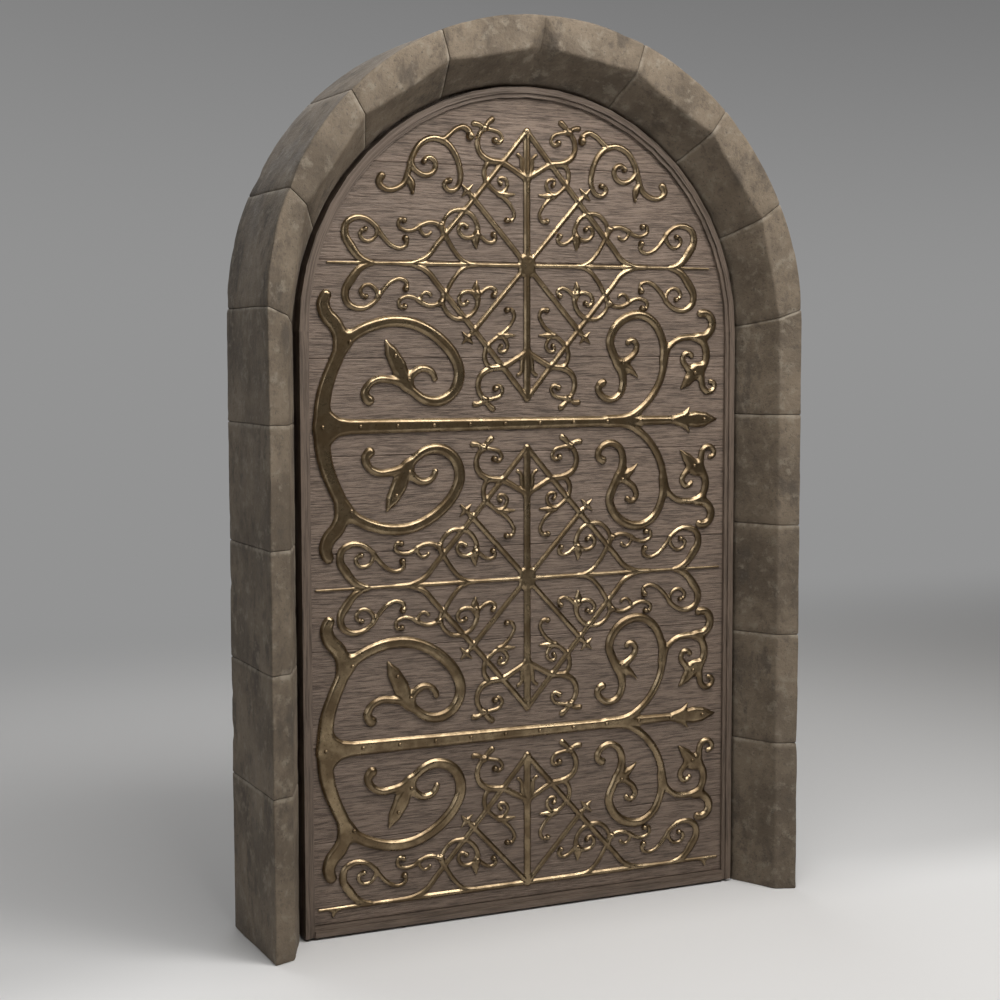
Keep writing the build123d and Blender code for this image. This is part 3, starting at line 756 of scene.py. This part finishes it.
stone_dark = (0.094, 0.071, 0.048, 1)
stone_light = (0.165, 0.128, 0.089, 1)
stone_stain = (0.064, 0.051, 0.039, 1)
stone_pale = (0.215, 0.182, 0.138, 1)
stone_hollow = (0.060, 0.047, 0.035, 1)
stone_pit = (0.042, 0.034, 0.026, 1)
# Colour of the painted highlight on the upper joint edges
stone_painted_highlight = (0.250, 0.213, 0.165, 1)
stone_bump = 4.0 * mm
plank_dark = (0.086, 0.061, 0.045, 1)
plank_light = (0.206, 0.150, 0.113, 1)
plank_ridge = 3.4 * mm
plank_streaks = 13.0
board_dark = (0.060, 0.042, 0.030, 1)
board_light = (0.190, 0.140, 0.103, 1)
board_ridge = 2.0 * mm
rim_dark = (0.085, 0.060, 0.043, 1)
rim_light = (0.150, 0.110, 0.082, 1)
rim_ridge = 0.8 * mm
oak_streaks = 7.0
grain_lines = 215.0
grain_layers = 40.0
grain_warp = 24 * mm
patch_along = 3.0
patch_across = 9.0
board_shift = 3.7
board_shade_step = 7.3
brass_bright = (0.276, 0.206, 0.122, 1)
brass_brown = (0.142, 0.098, 0.053, 1)
brass_speck = (0.06, 0.045, 0.026, 1)
brass_bump = 0.7 * mm
iron_black = (0.035, 0.033, 0.031, 1)
iron_rust = (0.085, 0.048, 0.028, 1)
iron_bump = 0.8 * mm


def add(tree, kind, inputs, **settings):
    """Adds a shader node, with its inputs linked to sockets or set to values."""
    made = tree.nodes.new(f"ShaderNode{kind}")
    for key, value in settings.items():
        setattr(made, key, value)
    for key, value in inputs.items():
        if isinstance(value, bpy.types.NodeSocket):
            tree.links.new(value, made.inputs[key])
        else:
            made.inputs[key].default_value = value
    return made


def new_material(name):
    """A material, its node tree, the place on the object that is shaded, and its surface node."""
    material = bpy.data.materials.new(name)
    material.use_nodes = True
    tree = material.node_tree
    place = add(tree, "TexCoord", {}).outputs["Object"]
    return material, tree, place, tree.nodes["Principled BSDF"]


def scaled(tree, place, factors):
    """A place multiplied along each axis."""
    return add(tree, "VectorMath", {0: place, 1: factors}, operation="MULTIPLY").outputs[0]


def noise_value(tree, place, scale, detail=4.0, roughness=0.55):
    """Cloudy noise between 0 and 1."""
    settings = {"Vector": place, "Scale": scale, "Detail": detail, "Roughness": roughness}
    return add(tree, "TexNoise", settings).outputs["Fac"]


def remap(tree, value, low, high, to_low=0.0, to_high=1.0):
    """A value taken smoothly from one range to another."""
    inputs = {"Value": value, "From Min": low, "From Max": high, "To Min": to_low, "To Max": to_high}
    return add(tree, "MapRange", inputs, interpolation_type="SMOOTHSTEP").outputs["Result"]


def mix(tree, factor, first, second):
    """A colour between two colours."""
    return add(tree, "Mix", {0: factor, 6: first, 7: second}, data_type="RGBA").outputs[2]


def darker(colour, share):
    """A colour at a share of its strength."""
    return tuple(share * part for part in colour[:3]) + (1,)


def total(tree, first, second, operation="ADD"):
    """The sum of two values, or the result of another operation on them."""
    return add(tree, "Math", {0: first, 1: second}, operation=operation).outputs[0]


def bump(tree, height, distance):
    """A normal that makes a surface look raised by a height times a distance."""
    inputs = {"Height": height, "Distance": distance, "Strength": 1.0}
    return add(tree, "Bump", inputs).outputs["Normal"]


def finish(tree, surface, **inputs):
    """Links or sets the inputs of a surface node, named in lower case."""
    for key, value in inputs.items():
        socket = surface.inputs[key.replace("_", " ").title()]
        if isinstance(value, bpy.types.NodeSocket):
            tree.links.new(value, socket)
        else:
            socket.default_value = value


def sandstone():
    """Warm mottled sandstone, darker in patches, with fine pits, and a painted highlight on the upper edges
    of some joints, as if lit from above.
    """
    material, tree, place, surface = new_material("sandstone")
    clouds = noise_value(tree, place, 4.5, 6, 0.62)
    stains = noise_value(tree, scaled(tree, place, (1.0, 1.0, 0.55)), 9.0, 6, 0.68)
    coarse = noise_value(tree, place, 26, 6, 0.65)
    pits = noise_value(tree, place, 110, 4, 0.7)
    colour = mix(tree, remap(tree, clouds, 0.36, 0.64), stone_dark, stone_light)
    colour = mix(tree, remap(tree, stains, 0.52, 0.66, 0, 0.75), colour, stone_stain)
    colour = mix(tree, remap(tree, coarse, 0.52, 0.68, 0, 0.65), colour, stone_pale)
    colour = mix(tree, remap(tree, coarse, 0.30, 0.46, 0.55, 0), colour, stone_hollow)
    colour = mix(tree, remap(tree, pits, 0.30, 0.44, 0.65, 0), colour, stone_pit)
    # Painted highlight: a lighter colour in patches on the marked upper joint edges, standing in for light
    # from above
    painted_highlight = add(tree, "Attribute", {}, attribute_name="painted_highlight").outputs["Fac"]
    patchy = remap(tree, coarse, 0.38, 0.6, 0.1, 0.8)
    painted_edge_highlight = total(tree, remap(tree, painted_highlight, 0.5, 1.0), patchy, "MULTIPLY")
    colour = mix(tree, painted_edge_highlight, colour, stone_painted_highlight)
    relief = total(tree, coarse, total(tree, pits, 0.45, "MULTIPLY"))
    roughness = remap(tree, stains, 0.3, 0.7, 0.70, 0.90)
    finish(tree, surface, base_color=colour, roughness=roughness, normal=bump(tree, relief, stone_bump))
    return material


def oak(name, along, dark, light, ridge, streaks=oak_streaks):
    """Weathered oak, with its grain along "x", along "z" or round the "arch".

    Ridge is how deep the grain looks, and streaks is how often it changes in a metre along it.
    """
    material, tree, place, surface = new_material(name)
    split = add(tree, "SeparateXYZ", {0: place}).outputs
    if along == "arch":
        flat = scaled(tree, place, (1, 0, 1))
        centre = (0, 0, head_centre_height)
        across = add(tree, "VectorMath", {0: flat, 1: centre}, operation="DISTANCE").outputs["Value"]
        length = total(tree, split[0], split[2], "SUBTRACT")
    else:
        across = split[2] if along == "x" else split[0]
        length = split[0] if along == "x" else split[2]
    board = total(tree, across, plank_high[2] - plank_low[2], "DIVIDE")
    board = add(tree, "Math", {0: board}, operation="FLOOR").outputs[0]
    shifted = total(tree, length, total(tree, board, board_shift, "MULTIPLY"))
    wide = add(tree, "CombineXYZ", {0: total(tree, shifted, patch_along, "MULTIPLY"),
                                    1: split[1],
                                    2: total(tree, across, patch_across, "MULTIPLY")}).outputs[0]
    sway = total(tree, noise_value(tree, wide, 1.0, 0.6, 0.5), 0.5, "SUBTRACT")
    bent = total(tree, across, total(tree, sway, grain_warp, "MULTIPLY"))
    lines = add(tree, "CombineXYZ", {0: total(tree, shifted, streaks, "MULTIPLY"),
                                     1: total(tree, split[1], grain_layers, "MULTIPLY"),
                                     2: total(tree, bent, grain_lines, "MULTIPLY")}).outputs[0]
    grain = noise_value(tree, lines, 1.0, 5.0, 0.68)
    fine = noise_value(tree, scaled(tree, lines, (3.6, 1, 2.4)), 1.0, 3, 0.6)
    patches = noise_value(tree, wide, 2.6, 5, 0.6)
    tone = remap(tree, total(tree, grain, total(tree, fine, 0.4, "MULTIPLY")), 0.53, 0.83)
    colour = mix(tree, tone, dark, light)
    stained = mix(tree, tone, darker(dark, 0.72), darker(light, 0.78))
    colour = mix(tree, remap(tree, patches, 0.42, 0.64, 0, 0.8), colour, stained)
    cracks = remap(tree, grain, 0.30, 0.41, 0.8, 0.0)
    colour = mix(tree, cracks, colour, darker(dark, 0.35))
    board_place = total(tree, board, board_shade_step, "MULTIPLY")
    shade = noise_value(tree, add(tree, "CombineXYZ", {0: board_place}).outputs[0], 1.0)
    colour = mix(tree, remap(tree, shade, 0.35, 0.65, 0.0, 0.25), colour, dark)
    relief = total(tree, grain, total(tree, fine, 0.35, "MULTIPLY"))
    roughness = remap(tree, grain, 0.35, 0.65, 0.80, 0.52)
    finish(tree, surface, base_color=colour, roughness=roughness, normal=bump(tree, relief, ridge))
    return material


def brass():
    """Aged brass: browned in patches, with dark specks and small dents."""
    material, tree, place, surface = new_material("aged_brass")
    clouds = noise_value(tree, place, 14, 5, 0.6)
    specks = noise_value(tree, place, 130, 4, 0.65)
    dents = noise_value(tree, place, 60, 2, 0.5)
    colour = mix(tree, remap(tree, clouds, 0.38, 0.64), brass_bright, brass_brown)
    colour = mix(tree, remap(tree, specks, 0.56, 0.72, 0, 0.8), colour, brass_speck)
    roughness = remap(tree, clouds, 0.3, 0.7, 0.25, 0.39)
    relief = total(tree, dents, total(tree, specks, 0.4, "MULTIPLY"))
    finish(tree, surface, base_color=colour, roughness=roughness, metallic=1.0, coat_weight=0.2,
           coat_roughness=0.22, normal=bump(tree, relief, brass_bump))
    return material


def black_iron():
    """Blackened hinge iron with a little rust."""
    material, tree, place, surface = new_material("hinge_iron")
    clouds = noise_value(tree, place, 30, 6, 0.65)
    pits = noise_value(tree, place, 160, 3, 0.6)
    colour = mix(tree, remap(tree, clouds, 0.5, 0.72), iron_black, iron_rust)
    roughness = remap(tree, clouds, 0.3, 0.7, 0.42, 0.72)
    relief = total(tree, clouds, total(tree, pits, 0.4, "MULTIPLY"))
    finish(tree, surface, base_color=colour, roughness=roughness, metallic=0.85,
           normal=bump(tree, relief, iron_bump))
    return material


def dress(prefixes, material):
    """Gives a material to the frame's own pieces whose names start with one of the prefixes."""
    for name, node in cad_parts.items():
        if name.startswith(prefixes):
            node.data.materials.clear()
            node.data.materials.append(material)


# Studio

# Floor colours with painted light: lighter in front of the door, darker from beside it backwards
floor_painted_light = (0.765, 0.765, 0.765, 1)
floor_painted_shade = (0.58, 0.58, 0.58, 1)
floor_far = (0.292, 0.292, 0.292, 1)
backdrop_low = (0.292, 0.292, 0.292, 1)
backdrop_high = (0.155, 0.155, 0.155, 1)
front_dark = (0.044, 0.036, 0.026, 1)
floor_size = 160.0
floor_near_end = -0.4
floor_middle_start = 0.15
floor_fade_start = 2.0
floor_fade_end = 6.5
backdrop_lean = 1.2
door_middle = (0, 0, 1.3)


def studio_floor():
    """A floor that fades into the grey backdrop with distance. Its colour is lighter in front of the door
    and darker from beside it backwards: a painted pool of light in front and painted shade behind.
    """
    mesh = bpy.data.meshes.new("floor")
    half = floor_size / 2
    corners = [(-half, -half, 0), (half, -half, 0), (half, half, 0), (-half, half, 0)]
    mesh.from_pydata(corners, [], [(0, 1, 2, 3)])
    floor = bpy.data.objects.new("floor", mesh)
    bpy.context.scene.collection.objects.link(floor)
    material, tree, place, surface = new_material("floor")
    far = add(tree, "SeparateXYZ", {0: place}).outputs[1]
    # Painted light and shade: the floor's colour goes from lighter in front of the door to darker beside and
    # behind it
    colour = mix(tree, remap(tree, far, floor_near_end, floor_middle_start), floor_painted_light, floor_painted_shade)
    finish(tree, surface, base_color=colour, roughness=0.9)
    glow = add(tree, "Emission", {"Color": floor_far})
    factor = remap(tree, far, floor_fade_start, floor_fade_end)
    blended = add(tree, "MixShader", {0: factor, 1: surface.outputs[0], 2: glow.outputs[0]})
    tree.links.new(blended.outputs[0], tree.nodes["Material Output"].inputs["Surface"])
    mesh.materials.append(material)


def studio_world():
    """Grey studio surroundings: a soft gradient behind the door, darker in front of it."""
    world = bpy.data.worlds.new("studio")
    bpy.context.scene.world = world
    world.use_nodes = True
    tree = world.node_tree
    direction = add(tree, "SeparateXYZ", {0: add(tree, "TexCoord", {}).outputs["Generated"]}).outputs
    lean = total(tree, total(tree, direction[0], backdrop_lean, "MULTIPLY"), 1.0)
    climb = total(tree, direction[2], lean, "MULTIPLY")
    wall = mix(tree, remap(tree, climb, 0.0, 0.45), backdrop_low, backdrop_high)
    colour = mix(tree, remap(tree, direction[1], -0.2, 0.45), front_dark, wall)
    tree.links.new(colour, tree.nodes["Background"].inputs["Color"])


def area_light(name, place, target, size, power, tint=(1, 1, 1)):
    """A lamp with a lit rectangle, aimed at a target. Power is in watts."""
    lamp = bpy.data.lights.new(name, "AREA")
    lamp.shape = "RECTANGLE"
    lamp.size, lamp.size_y = size
    lamp.energy = power
    lamp.color = tint
    light = bpy.data.objects.new(name, lamp)
    light.location = place
    aim = Vector(target) - Vector(place)
    light.rotation_euler = aim.to_track_quat("-Z", "Y").to_euler()
    bpy.context.scene.collection.objects.link(light)


def studio_lights():
    """Soft lamps: a key from the right, one overhead, a cool fill from the left, one on the backdrop."""
    area_light("key", (2.4, -3.4, 4.4), door_middle, (2.4, 2.4), 112, (1.0, 0.98, 0.955))
    area_light("overhead", (0.2, -1.9, 4.4), (0, 0, 1.8), (2.8, 1.6), 126, (1.0, 0.985, 0.965))
    area_light("fill", (-4.2, -4.0, 2.6), door_middle, (2.5, 2.5), 42, (0.95, 0.97, 1.0))
    area_light("rear", (-0.6, 4.2, 4.6), (0, 1.0, 0.6), (6.0, 4.0), 130)


def photo_camera():
    """The camera fitted to the photograph."""
    data = bpy.data.cameras.new("camera")
    data.sensor_width = sensor_width
    data.lens = sensor_width * focal_pixels / frame_pixels
    camera = bpy.data.objects.new("camera", data)
    yaw, pitch = radians(camera_yaw), radians(camera_pitch)
    forward = Vector((sin(yaw) * cos(pitch), cos(yaw) * cos(pitch), sin(pitch)))
    level = forward.to_track_quat("-Z", "Y")
    camera.location = camera_place
    camera.rotation_mode = "QUATERNION"
    camera.rotation_quaternion = Quaternion(forward, radians(camera_roll)) @ level
    bpy.context.scene.collection.objects.link(camera)
    bpy.context.scene.camera = camera


# The whole scene

bpy.context.scene.view_settings.view_transform = "Standard"
photo_camera()
studio_floor()
studio_world()
studio_lights()

aged_brass = brass()
iron = black_iron()
stonework(sandstone())
dress(("plank",), oak("oak_planks", "x", plank_dark, plank_light, plank_ridge, plank_streaks))
dress(("back_board",), oak("oak_boards", "z", board_dark, board_light, board_ridge))
dress(("rim_left", "rim_right"), oak("oak_stiles", "z", rim_dark, rim_light, rim_ridge))
dress(("rim_bottom",), oak("oak_rail", "x", rim_dark, rim_light, rim_ridge))
dress(("rim_head",), oak("oak_head", "arch", rim_dark, rim_light, rim_ridge))
dress(("lower_pintle", "upper_pintle", "lower_rear_strap", "upper_rear_strap"), iron)
tracery("upper_tracery", upper_row, upper_high[0], bar_width, True, scroll_width, aged_brass)
tracery("middle_tracery", middle_row, middle_high[0], bar_width, True, lower_spread, aged_brass)
tracery("lower_tracery", base_row, middle_high[0], base_bar_width, False, lower_spread, aged_brass)
spray("left_spray", -1, aged_brass)
spray("right_spray", 1, aged_brass)
for level, row in hinge_rows.items():
    hinge_strap(f"{level}_hinge_strap", row, aged_brass)
rivets(aged_brass)
rear_nails(iron)
